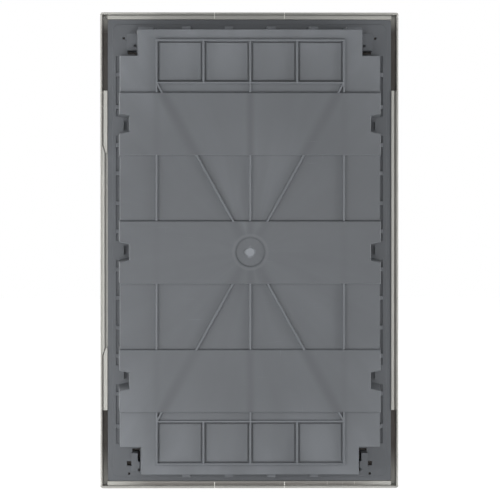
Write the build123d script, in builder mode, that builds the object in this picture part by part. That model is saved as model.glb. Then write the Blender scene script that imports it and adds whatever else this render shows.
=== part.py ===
from build123d import *

import os
from math import atan2, degrees, hypot, radians, tan

# Flush-mount distribution board: a ribbed wall box with three device rows, a front cover and a hinged door.
# X runs across, Z runs up and the back of the box faces +Y. The origin is the middle of the back wall's outer
# face. Depths are measured from that face towards the front, so a depth of 70 lies at Y = -70. Sizes in mm.

os.makedirs("parts", exist_ok=True)

# Device rows
row_count = 3
row_pitch = 125.0
modules_per_row = 12
module_width = 17.5

# Wall box
side_room = 21.25
end_room = 91.5
box_depth = 70.0
wall = 2.5
draft_angle = 3.9
flange_thickness = 2.5
flange_reach_side = 11.7
flange_reach_end = 10.9
flange_step = 0.8
flange_strip = 4.7
flange_corner = 2.0
step_corner = 7.0
channel_width = 3.2
channel_depth = 1.0

# Raised bands behind the rows, and the side notches in them
band_height = 61.8
band_rise = 3.0
band_side_rise = 0.8
band_edge = 0.6
band_slope = 1.1
notch_mouth = 19.5
notch_floor = 15.5
notch_depth_back = 9.6
notch_depth_front = 10.0
fin_thickness = 1.0
fin_inset = 4.9
fin_height = 8.5
fin_rise = 4.0

# Ribs and knock-outs on the back
rib_width = 1.5
rib_drop = 0.3
rib_draft = 12.0
knockout_count = 4
knockout_pitch = 45.5
knockout_height = 41.4
knockout_drop = 0.4
knockout_gap = 8.7
score_width = 1.2
score_skin = 0.7
gate_radius = 14.0
gate_depth = 1.0
sprue_radius = 4.2
sprue_drop = 0.2
sprue_lobe_radius = 2.8
sprue_lobe_offset = 3.2

# Corner pockets with the screw towers
pocket_top_width = 17.2
pocket_top_height = 25.6
pocket_bottom_width = 20.6
pocket_bottom_height = 26.8
tower_rise = 18.0
tower_top_width = 10.0
tower_top_height = 17.0
tower_top_inset = 12.9
tower_bottom_width = 6.4
tower_bottom_height = 18.0
tower_bottom_inset = 10.2
tower_gap = 1.3
tower_web = 7.0
tower_web_drop = 2.8
tower_slot = 2.6
tower_eye = 2.5
tower_eye_depth = 5.0
tower_eye_drop = 4.0
window_top = 2.2
window_top_gap = 2.9
window_top_rise = 5.0
window_bottom = 4.4
window_bottom_gap = 1.0
window_bottom_drop = 3.5
drain_radius = 1.2
drain_drop = 13.8

# Gussets at the foot of the side walls, lugs and shoulders on the end walls
gusset_width = 4.0
gusset_reach = 3.4
gusset_rise = 9.0
gusset_row_offset = 19.1
gusset_zone_offset = 15.0
gusset_end_gap = 51.6
lug_wall_width = 8.0
lug_wall_reach = 3.0
lug_wall_pitch = 41.6
lug_wall_count = 4
shoulder_width = 14.6
shoulder_reach = 2.4
end_rib_rear = 8.0

# Rails and their seats
rail_seat = 12.2
rail_length = 228.0
rail_width = 35.0
rail_crown = 27.0
rail_rise = 7.5
rail_sheet = 1.0
rail_slot_length = 15.0
rail_slot_width = 6.2
rail_slot_pitch = 25.0
rail_slot_count = 9
seat_radius = 4.6
seat_rib = 2.0
seat_reach_x = 14.0
seat_reach_z = 26.0

# Small screws
screw_radius = 1.7
screw_head_radius = 3.7
screw_head_height = 2.2
screw_length = 10.0

# Terminal strips, holders and bars
strip_offset = 52.5
strip_depth = 40.0
strip_length = 212.0
strip_width = 10.0
strip_sheet = 2.0
strip_hole_inset = 10.0
strip_hole_play = 0.4
terminal_count = 9
terminal_pitch = 12.0
bar_section = 8.0
bar_end = 6.0
holder_wall = 1.8
holder_base = 2.0
holder_lip = 1.4
holder_play = 0.2
wire_radius = 2.1
clamp_radius = 1.6
clamp_head_radius = 2.5
clamp_head_height = 1.6

# Front cover
cover_rise = 18.0
cover_side_margin = 7.6
cover_end_margin = 7.4
cover_corner = 2.6
cover_edge = 1.4
cover_wall = 2.5
skirt = 2.1
side_bevel_width = 1.4
side_bevel_depth = 2.0
land_length = 321.6
land_thickness = 5.0
land_play = 0.3
land_groove_width = 1.2
land_groove_depth = 2.4
land_groove_inset = 2.8
hinge_groove_width = 2.2
hinge_groove_inset = 3.5
grip_length = 204.0
grip_reach = 7.5
grip_edge = 3.0
grip_groove_inset = 5.0
grip_land_drop = 3.0
slit_size = 3.0
slit_inset = 2.3
slit_depth = 1.0
lip_play = 0.4
lip_drop = 0.4
seal_groove_width = 1.3
seal_groove_depth = 3.0
web_width = 1.0
web_offset = 35.2

# Device slots and their well in the cover
cover_over_rail = 46.3
well_floor = 2.0
well_play = 1.7
well_end = 17.0
slot_play = 6.0
slot_height = 46.0
collar_width = 2.0
collar_rise = 1.2
label_height = 8.0
label_gap = 4.5
label_recess = 0.6
label_sheet = 0.5
label_play = 0.3

# Quarter-turn cover fasteners
fastener_head_radius = 6.2
fastener_head_height = 2.0
fastener_shank_radius = 2.2
fastener_reach = 12.0
fastener_play = 0.06
fastener_head_play = 0.4
fastener_seat_wall = 1.8
fastener_tube_wall = 1.4
driver_slot_width = 1.6
driver_slot_depth = 1.2

# Door, hinges and catch
door_gap = 1.8
door_panel = 2.5
door_lip = 2.2
door_edge = 2.2
hinge_rise = 5.6
hinge_inset = 3.0
hinge_end_inset = 44.5
lug_radius = 2.4
lug_height = 8.0
lug_heel = 1.0
knuckle_height = 7.0
knuckle_gap = 0.3
panel_play = 0.4
pin_radius = 1.25
pin_play = 0.06
door_rib_width = 1.4
door_rib_rise = 1.8
door_rib_inset = 14.0
nose_width = 2.4
nose_length = 16.0
nose_reach = 5.4
catch_inset = 11.8
catch_base = 1.5
catch_prong = 2.2
catch_prong_rise = 4.0
catch_play = 0.4

# Overlap used where two solids of one moulding are joined
join = 0.5

row_axes = [row_pitch * ((row_count - 1) / 2 - i) for i in range(row_count)]
outer_row = row_axes[0]
zone_axes = [(upper + lower) / 2 for upper, lower in zip(row_axes, row_axes[1:])]
field_length = modules_per_row * module_width
box_width = field_length + 2 * side_room
box_height = row_pitch * (row_count - 1) + 2 * end_room
draft_slope = tan(radians(draft_angle))
zone_floor = band_rise + wall
flange_front = box_depth + flange_thickness
foot_growth = (box_depth - band_rise) * draft_slope
foot_x = box_width / 2 + foot_growth
foot_z = box_height / 2 + foot_growth
flange_width = 2 * (foot_x + flange_reach_side)
flange_height = 2 * (foot_z + flange_reach_end)
pockets = ((1, pocket_top_width, pocket_top_height), (-1, pocket_bottom_width, pocket_bottom_height))

grid_half = knockout_count * knockout_pitch / 2
grid_near = outer_row + band_height / 2 + knockout_gap
grid_far = grid_near + knockout_height
rib_foot = rib_width + 2 * (band_rise - rib_drop) * tan(radians(rib_draft))

# The upper towers stand against the wall of their pocket, the lower ones a gap away from it
corners = [(side, end) for side in (-1, 1) for end in (-1, 1)]
tower_rear = box_depth - tower_rise
tower_top_x = foot_x - tower_rise * draft_slope - pocket_top_width + tower_top_width / 2
tower_bottom_x = foot_x - pocket_bottom_width + tower_gap + tower_bottom_width / 2
tower_x = {1: tower_top_x, -1: tower_bottom_x}
tower_z = {1: foot_z - tower_top_inset, -1: foot_z - tower_bottom_inset}
tower_sizes = {1: (tower_top_width, tower_top_height), -1: (tower_bottom_width, tower_bottom_height)}
fastener_places = [(side * tower_x[end], end * tower_z[end]) for side, end in corners]

rail_rear = wall + rail_seat
rail_front = rail_rear + rail_rise
rail_slots = [rail_slot_pitch * (i - (rail_slot_count - 1) / 2) for i in range(rail_slot_count)]
seat_x = rail_slots[-1]

strip_z = outer_row + strip_offset
strip_front = strip_depth + strip_sheet
strip_hole_x = strip_length / 2 - strip_hole_inset
terminal_places = [terminal_pitch * (i - (terminal_count - 1) / 2) for i in range(terminal_count)]
bar_length = terminal_pitch * (terminal_count - 1) + 2 * bar_end
bar_rear = strip_front + holder_base

cover_width = flange_width + 2 * cover_side_margin
cover_height = flange_height + 2 * cover_end_margin
cover_front = box_depth + cover_rise
cover_plate_rear = cover_front - cover_wall
land_x = flange_width / 2 + land_play
lip_z = flange_height / 2 + lip_play
inner_width = cover_width - 2 * skirt
inner_height = cover_height - 2 * skirt
slot_length = field_length + slot_play
well_rear = rail_front + cover_over_rail
well_front = well_rear + well_floor
well_height = 2 * (outer_row + slot_height / 2 + well_end)
label_offset = slot_height / 2 + label_gap + label_height / 2

fastener_seat = cover_front - fastener_head_height
fastener_tip = flange_front - fastener_reach

hinge_x = -(cover_width / 2 - hinge_inset)
hinge_depth = cover_front + hinge_rise
hinge_places = [cover_height / 2 - hinge_end_inset, -(cover_height / 2 - hinge_end_inset)]
door_rear = cover_front + door_gap
door_inner = hinge_depth + lug_radius + panel_play
door_front = door_inner + door_panel
catch_x = cover_width / 2 - catch_inset
catch_top = cover_front + catch_base + catch_prong_rise


def depth_plane(depth):
    """Plane parallel to the back wall at a depth, with X across and Z up."""
    return Plane.XZ.offset(depth)


def growth(depth):
    """How far the drafted walls have spread from the back wall to a depth."""
    return (depth - band_rise) * draft_slope


def box_plan(depth, inset=0.0):
    """Plan of the box at a depth, with its four corner pockets, drawn in by an inset."""
    half_width = box_width / 2 + growth(depth) - inset
    half_height = box_height / 2 + growth(depth) - inset
    with BuildSketch(depth_plane(depth)) as plan:
        Rectangle(2 * half_width, 2 * half_height)
        for end, pocket_width, pocket_height in pockets:
            with Locations((-half_width, end * half_height), (half_width, end * half_height)):
                Rectangle(2 * pocket_width, 2 * pocket_height, mode=Mode.SUBTRACT)
    return plan.sketch.face()


def band_plan(depth, row):
    """Plan of one raised band at a depth, which wraps a little way round both side walls."""
    with BuildSketch(depth_plane(depth)) as plan:
        with Locations((0, row)):
            Rectangle(box_width + 2 * (growth(depth) + band_side_rise), band_height)
    return plan.sketch.face()


def notch_mouth_x(depth):
    """Distance of a side notch's mouth from the middle at a depth."""
    return box_width / 2 + growth(depth) + band_side_rise


def notch_floor_x(depth):
    """Distance of a side notch's inner wall from the middle at a depth."""
    notch_depth = notch_depth_back + (notch_depth_front - notch_depth_back) * depth / box_depth
    return notch_mouth_x(depth) - notch_depth


def notch_plan(depth, row, side, margin, overrun):
    """Trapezoid of a side notch at a depth, grown by a margin and run out past the side wall."""
    mouth_x = notch_mouth_x(depth)
    floor_x = notch_floor_x(depth) - margin
    flare = (notch_mouth - notch_floor) / 2 / notch_depth_back
    half_floor = notch_floor / 2 + margin
    half_mouth = half_floor + flare * (mouth_x + overrun - floor_x)
    with BuildSketch(depth_plane(depth)) as plan:
        with BuildLine():
            Polyline(
                (side * floor_x, row - half_floor),
                (side * (mouth_x + overrun), row - half_mouth),
                (side * (mouth_x + overrun), row + half_mouth),
                (side * floor_x, row + half_floor),
                close=True,
            )
        make_face()
    return plan.sketch.face()


def foot_plane(place, outward):
    """Plane across a wall's foot at a place, with its local X outward and its local Y to the back."""
    return Plane(place, x_dir=outward, z_dir=Vector(*outward).cross(Vector(0, 1, 0)))


def side_foot_planes():
    """Planes of the gussets along both side walls."""
    places = [outer_row + gusset_end_gap, -outer_row - gusset_end_gap]
    for row in row_axes:
        places += [row - gusset_row_offset, row + gusset_row_offset]
    for zone in zone_axes:
        places += [zone - gusset_zone_offset, zone + gusset_zone_offset]
    return [foot_plane((side * foot_x, -box_depth, z), (side, 0, 0)) for side in (-1, 1) for z in places]


def end_foot_planes(places, ends):
    """Planes across the feet of the end walls, at places across the box."""
    return [foot_plane((x, -box_depth, end * foot_z), (0, 0, end)) for end in ends for x in places]


def wall_rib(planes, width, foot_reach, rear_reach, rise):
    """Ribs up a drafted wall, which reach out by one amount at the foot and another at the rear."""
    lean = rise * draft_slope
    with BuildPart() as ribs:
        with BuildSketch(*planes):
            with BuildLine():
                Polyline(
                    (-join, 0),
                    (foot_reach, 0),
                    (rear_reach - lean, rise),
                    (-join - lean, rise),
                    close=True,
                )
            make_face()
        extrude(amount=width / 2, both=True)
    return ribs.part


# Ribs on the outside of the walls: gussets, then lugs on both ends and shoulders beside the upper pockets
lug_places = [lug_wall_pitch * (i - (lug_wall_count - 1) / 2) for i in range(lug_wall_count)]
shoulder_x = box_width / 2 - pocket_top_width - shoulder_width / 2
end_rib_rise = box_depth - end_rib_rear
lug_planes = end_foot_planes(lug_places, (-1, 1))
shoulder_planes = end_foot_planes((-shoulder_x, shoulder_x), (1,))
gussets = wall_rib(side_foot_planes(), gusset_width, gusset_reach, 0, gusset_rise)
wall_lugs = wall_rib(lug_planes, lug_wall_width, lug_wall_reach, lug_wall_reach, end_rib_rise)
shoulders = wall_rib(shoulder_planes, shoulder_width, shoulder_reach, shoulder_reach, end_rib_rise)


# Wall box: one moulding
with BuildPart() as wall_box:
    # Drafted body, raised bands and the flange with its stepped edge
    loft([box_plan(band_rise), box_plan(box_depth + join)], ruled=True)
    for row in row_axes:
        loft([band_plan(0, row), band_plan(box_depth + join, row)], ruled=True)
    with BuildSketch(depth_plane(box_depth + flange_step)):
        RectangleRounded(flange_width, flange_height, flange_corner)
    extrude(amount=flange_thickness - flange_step)
    with BuildSketch(depth_plane(box_depth)):
        RectangleRounded(flange_width - 2 * flange_strip, flange_height - 2 * flange_strip, step_corner)
    extrude(amount=flange_thickness)

    # Channel in the flange along both side walls, between the pockets, which stops beside each notch
    channel_x = foot_x + channel_width / 2
    channel_top = foot_z - pocket_top_height
    channel_bottom = pocket_bottom_height - foot_z
    channel_middle = (channel_top + channel_bottom) / 2
    with BuildSketch(depth_plane(box_depth)):
        with Locations((-channel_x, channel_middle), (channel_x, channel_middle)):
            Rectangle(channel_width, channel_top - channel_bottom)
        with Locations(*[(side * channel_x, row) for side in (-1, 1) for row in row_axes]):
            Rectangle(channel_width, notch_mouth, mode=Mode.SUBTRACT)
    extrude(amount=channel_depth, mode=Mode.SUBTRACT)

    # Hollow inside, with the floor sunk into each band so that the wall stays even
    loft([box_plan(zone_floor, wall), box_plan(flange_front, wall)], ruled=True, mode=Mode.SUBTRACT)
    with BuildSketch(depth_plane(wall)):
        with Locations(*[(0, row) for row in row_axes]):
            Rectangle(box_width - 2 * wall, band_height - 2 * wall)
    extrude(amount=band_rise, mode=Mode.SUBTRACT)

    # Side notches: a column inside the box, then the notch from the back down to the flange
    for row in row_axes:
        for side in (-1, 1):
            column_rear = notch_plan(wall / 2, row, side, wall, -wall)
            column_front = notch_plan(flange_front, row, side, wall, -wall)
            loft([column_rear, column_front], ruled=True)
            notch_rear = notch_plan(-join, row, side, 0, wall)
            notch_front = notch_plan(box_depth, row, side, 0, wall)
            loft([notch_rear, notch_front], ruled=True, mode=Mode.SUBTRACT)
    with BuildSketch(Plane.YZ):
        for row in row_axes:
            band_top = row + band_height / 2
            with BuildLine():
                Polyline((0, band_top - band_slope), (0, band_top), (-band_rise, band_top), close=True)
            make_face()
    extrude(amount=foot_x, both=True, mode=Mode.SUBTRACT)
    chamfer(wall_box.faces().filter_by(Axis.Y).group_by(Axis.Y)[-1].edges(), band_edge)

    # Fin across the foot of each notch
    with BuildSketch(depth_plane(box_depth - fin_rise)):
        fin_middle = notch_floor_x(box_depth) + fin_inset
        with Locations(*[(side * fin_middle, row) for side in (-1, 1) for row in row_axes]):
            Rectangle(fin_thickness, fin_height)
    extrude(amount=fin_rise + join)

    # Ribs: uprights between the bands, the knock-out grids and the diagonals from the middle
    with BuildSketch(depth_plane(rib_drop)):
        for zone in zone_axes:
            with Locations((-grid_half, zone), (0, zone), (grid_half, zone)):
                Rectangle(rib_width, row_pitch - band_height + 2 * join)
        for end in (-1, 1):
            with Locations((0, end * grid_near), (0, end * grid_far)):
                Rectangle(2 * grid_half + rib_width, rib_width)
            for i in range(knockout_count + 1):
                with Locations(((i - knockout_count / 2) * knockout_pitch, end * (grid_near + grid_far) / 2)):
                    Rectangle(rib_width, knockout_height + rib_width)
            with Locations(*[(x, end * (grid_near - knockout_gap / 2)) for x in (-grid_half, 0, grid_half)]):
                Rectangle(rib_width, knockout_gap + 2 * join)
            for side in (-1, 1):
                lean = degrees(atan2(end * grid_near, side * grid_half))
                with Locations(Location((side * grid_half / 2, end * grid_near / 2, 0), (0, 0, lean))):
                    Rectangle(hypot(grid_half, grid_near), rib_width)
    extrude(amount=band_rise - rib_drop, taper=-rib_draft)

    # Knock-out panels, sunk a little between the ribs and scored all round down to a thin skin
    panel_width = knockout_pitch - rib_foot
    panel_height = knockout_height - rib_foot
    panel_xs = [(i - (knockout_count - 1) / 2) * knockout_pitch for i in range(knockout_count)]
    panels = [(x, end * (grid_near + grid_far) / 2) for end in (-1, 1) for x in panel_xs]
    with BuildSketch(depth_plane(band_rise)):
        with Locations(*panels):
            Rectangle(panel_width, panel_height)
    extrude(amount=knockout_drop, mode=Mode.SUBTRACT)
    with BuildSketch(depth_plane(band_rise)):
        with Locations(*panels):
            Rectangle(panel_width, panel_height)
            Rectangle(panel_width - 2 * score_width, panel_height - 2 * score_width, mode=Mode.SUBTRACT)
    extrude(amount=wall - score_skin, mode=Mode.SUBTRACT)

    # Moulding gate: a shallow dish with the broken stub of the sprue in it
    with BuildSketch(Plane.XZ):
        Circle(gate_radius)
    extrude(amount=gate_depth, mode=Mode.SUBTRACT)
    with BuildSketch(depth_plane(sprue_drop)):
        Circle(sprue_radius)
        with Locations((sprue_lobe_offset, 0)):
            Circle(sprue_lobe_radius)
    extrude(amount=gate_depth - sprue_drop)

    # Ribs outside the walls
    add(gussets)
    add(wall_lugs)
    add(shoulders)

    # Screw towers in the corner pockets; the lower ones are tied to the wall by a web
    with BuildSketch(depth_plane(tower_rear)):
        for side, end in corners:
            with Locations((side * tower_x[end], end * tower_z[end])):
                Rectangle(*tower_sizes[end])
        web_reach = tower_gap + tower_bottom_width / 2 + join
        web_x = tower_x[-1] - web_reach / 2
        web_middle = -tower_z[-1] - tower_web_drop
        with Locations((-web_x, web_middle), (web_x, web_middle)):
            Rectangle(web_reach, tower_web)
    extrude(amount=tower_rise + flange_thickness)
    with BuildSketch(depth_plane(tower_rear)):
        eye_x = tower_x[1] - (tower_top_width - tower_eye) / 2 + join
        with Locations(*[(side * eye_x, tower_z[1] - tower_eye_drop) for side in (-1, 1)]):
            Rectangle(tower_eye, tower_eye)
    extrude(amount=tower_eye_depth, mode=Mode.SUBTRACT)
    with BuildSketch(depth_plane(fastener_tip - wall)):
        with Locations(*fastener_places):
            Circle(fastener_shank_radius + fastener_play)
    extrude(amount=fastener_reach + wall, mode=Mode.SUBTRACT)

    # Slots, windows and drain holes in the floors of the pockets
    with BuildSketch(depth_plane(box_depth)):
        top_slot_z = tower_z[1] - (tower_top_height + tower_slot) / 2
        bottom_slot_z = (tower_bottom_height + tower_slot) / 2 - tower_z[-1]
        gap_middle = tower_x[-1] - (tower_bottom_width + tower_gap) / 2
        gap_height = tower_bottom_height + 2 * tower_slot
        top_window_x = tower_x[1] + (tower_top_width + window_top) / 2 + window_top_gap
        bottom_window_x = tower_x[-1] + (tower_bottom_width + window_bottom) / 2 + window_bottom_gap
        for side in (-1, 1):
            with Locations((side * tower_x[1], top_slot_z)):
                Rectangle(tower_top_width, tower_slot)
            with Locations((side * top_window_x, tower_z[1] + window_top_rise)):
                Rectangle(window_top, window_top)
            with Locations((side * (tower_x[-1] - tower_gap / 2), bottom_slot_z)):
                Rectangle(tower_bottom_width + tower_gap, tower_slot)
            with Locations((side * gap_middle, -tower_z[-1])):
                Rectangle(tower_gap, gap_height)
            with Locations((side * gap_middle, web_middle)):
                Rectangle(tower_gap, tower_web, mode=Mode.SUBTRACT)
            with Locations((side * bottom_window_x, -tower_z[-1] - window_bottom_drop)):
                Rectangle(window_bottom, window_bottom)
            with Locations((side * bottom_window_x, -tower_z[-1] - drain_drop)):
                Circle(drain_radius)
    extrude(amount=flange_thickness, mode=Mode.SUBTRACT)

    # Ribbed seats for the rails and posts for the terminal strips
    with BuildSketch(depth_plane(wall / 2)):
        for row in row_axes:
            with Locations((-seat_x, row), (seat_x, row)):
                Circle(seat_radius)
                Rectangle(seat_reach_x, seat_rib)
                Rectangle(seat_rib, seat_reach_z)
    extrude(amount=rail_rear - wall / 2)
    with BuildSketch(depth_plane(zone_floor - wall / 2)):
        with Locations(*[(side * strip_hole_x, end * strip_z) for side in (-1, 1) for end in (-1, 1)]):
            Circle(seat_radius)
            Rectangle(seat_reach_x, seat_rib)
            Rectangle(seat_rib, seat_reach_x)
    extrude(amount=strip_depth - zone_floor + wall / 2)
    with BuildSketch(depth_plane(rail_rear + rail_sheet - screw_length)):
        with Locations(*[(side * seat_x, row) for side in (-1, 1) for row in row_axes]):
            Circle(screw_radius)
    extrude(amount=screw_length, mode=Mode.SUBTRACT)
    with BuildSketch(depth_plane(strip_front - screw_length)):
        with Locations(*[(side * strip_hole_x, end * strip_z) for side in (-1, 1) for end in (-1, 1)]):
            Circle(screw_radius)
    extrude(amount=screw_length, mode=Mode.SUBTRACT)
wall_box.part.label = "wall_box"
export_step(wall_box.part, "parts/wall_box.step")

# Top-hat rails, one to each device row, resting on the seats
rail_names = ["din_rail_top", "din_rail_middle", "din_rail_bottom"]
for rail_name, row in zip(rail_names, row_axes):
    with BuildPart() as din_rail:
        rear, rear_inner = -rail_rear, -rail_rear - rail_sheet
        front, front_inner = -rail_front, -rail_front + rail_sheet
        crown, channel, edge = rail_crown / 2, rail_crown / 2 - rail_sheet, rail_width / 2
        with BuildSketch(Plane.YZ):
            with BuildLine():
                Polyline(
                    (rear, row - crown),
                    (rear, row + crown),
                    (front_inner, row + crown),
                    (front_inner, row + edge),
                    (front, row + edge),
                    (front, row + channel),
                    (rear_inner, row + channel),
                    (rear_inner, row - channel),
                    (front, row - channel),
                    (front, row - edge),
                    (front_inner, row - edge),
                    (front_inner, row - crown),
                    close=True,
                )
            make_face()
        extrude(amount=rail_length / 2, both=True)
        with BuildSketch(depth_plane(rail_rear)):
            with Locations(*[(x, row) for x in rail_slots]):
                SlotOverall(rail_slot_length, rail_slot_width)
        extrude(amount=rail_sheet, mode=Mode.SUBTRACT)
    din_rail.part.label = rail_name
    export_step(din_rail.part, f"parts/{rail_name}.step")


def pan_screws(places, seat_depth, radius, length, head_radius, head_height):
    """Pan-head screws at places, with their heads on a seat and their shanks running to the back."""
    with BuildPart() as screws:
        with BuildSketch(depth_plane(seat_depth)):
            with Locations(*places):
                Circle(head_radius)
        extrude(amount=head_height)
        with BuildSketch(depth_plane(seat_depth - length)):
            with Locations(*places):
                Circle(radius)
        extrude(amount=length)
    return screws.part


rail_screws = pan_screws(
    [(side * seat_x, row) for side in (-1, 1) for row in row_axes],
    rail_rear + rail_sheet,
    screw_radius,
    screw_length,
    screw_head_radius,
    screw_head_height,
)
rail_screws.label = "rail_screws"
export_step(rail_screws, "parts/rail_screws.step")

strip_screws = pan_screws(
    [(side * strip_hole_x, end * strip_z) for side in (-1, 1) for end in (-1, 1)],
    strip_front,
    screw_radius,
    screw_length,
    screw_head_radius,
    screw_head_height,
)
strip_screws.label = "strip_screws"
export_step(strip_screws, "parts/strip_screws.step")

# Terminal strips with the earth bar above and the neutral bar below
for strip_name, bar_name, end in (("top", "earth", 1), ("bottom", "neutral", -1)):
    middle = end * strip_z
    with BuildPart() as terminal_strip:
        with BuildSketch(depth_plane(strip_depth)):
            with Locations((0, middle)):
                Rectangle(strip_length, strip_width)
            with Locations((-strip_hole_x, middle), (strip_hole_x, middle)):
                Circle(screw_radius + strip_hole_play, mode=Mode.SUBTRACT)
        extrude(amount=strip_sheet)
    terminal_strip.part.label = f"terminal_strip_{strip_name}"
    export_step(terminal_strip.part, f"parts/terminal_strip_{strip_name}.step")

    # Holder: hooks over both edges of the strip, and a low trough for the bar
    with BuildPart() as holder:
        holder_length = bar_length + 2 * (holder_wall + holder_play)
        grip_width = strip_width + 2 * holder_play
        trough_width = bar_section + 2 * holder_play
        outer_width = grip_width + 2 * holder_lip
        with BuildSketch(depth_plane(strip_depth)):
            with Locations((0, middle)):
                Rectangle(holder_length, outer_width)
        extrude(amount=bar_rear + holder_lip - strip_depth)
        with BuildSketch(depth_plane(strip_depth)):
            with Locations((0, middle)):
                Rectangle(holder_length, grip_width)
        extrude(amount=strip_sheet, mode=Mode.SUBTRACT)
        with BuildSketch(depth_plane(bar_rear)):
            with Locations((0, middle)):
                Rectangle(bar_length + 2 * holder_play, trough_width)
        extrude(amount=holder_lip, mode=Mode.SUBTRACT)
    holder.part.label = f"{bar_name}_holder"
    export_step(holder.part, f"parts/{bar_name}_holder.step")

    # Bar: a wire hole and a tapped screw hole at each terminal
    with BuildPart() as bar:
        with BuildSketch(depth_plane(bar_rear)):
            with Locations((0, middle)):
                Rectangle(bar_length, bar_section)
        extrude(amount=bar_section)
        with BuildSketch(Plane.XY.offset(middle - bar_section / 2)):
            with Locations(*[(x, -bar_rear - bar_section / 2) for x in terminal_places]):
                Circle(wire_radius)
        extrude(amount=bar_section, mode=Mode.SUBTRACT)
        with BuildSketch(depth_plane(bar_rear + bar_section / 2)):
            with Locations(*[(x, middle) for x in terminal_places]):
                Circle(clamp_radius)
        extrude(amount=bar_section / 2, mode=Mode.SUBTRACT)
    bar.part.label = f"{bar_name}_bar"
    export_step(bar.part, f"parts/{bar_name}_bar.step")

    clamp_screws = pan_screws(
        [(x, middle) for x in terminal_places],
        bar_rear + bar_section,
        clamp_radius,
        bar_section / 2 - wire_radius,
        clamp_head_radius,
        clamp_head_height,
    )
    clamp_screws.label = f"{bar_name}_screws"
    export_step(clamp_screws, f"parts/{bar_name}_screws.step")

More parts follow.
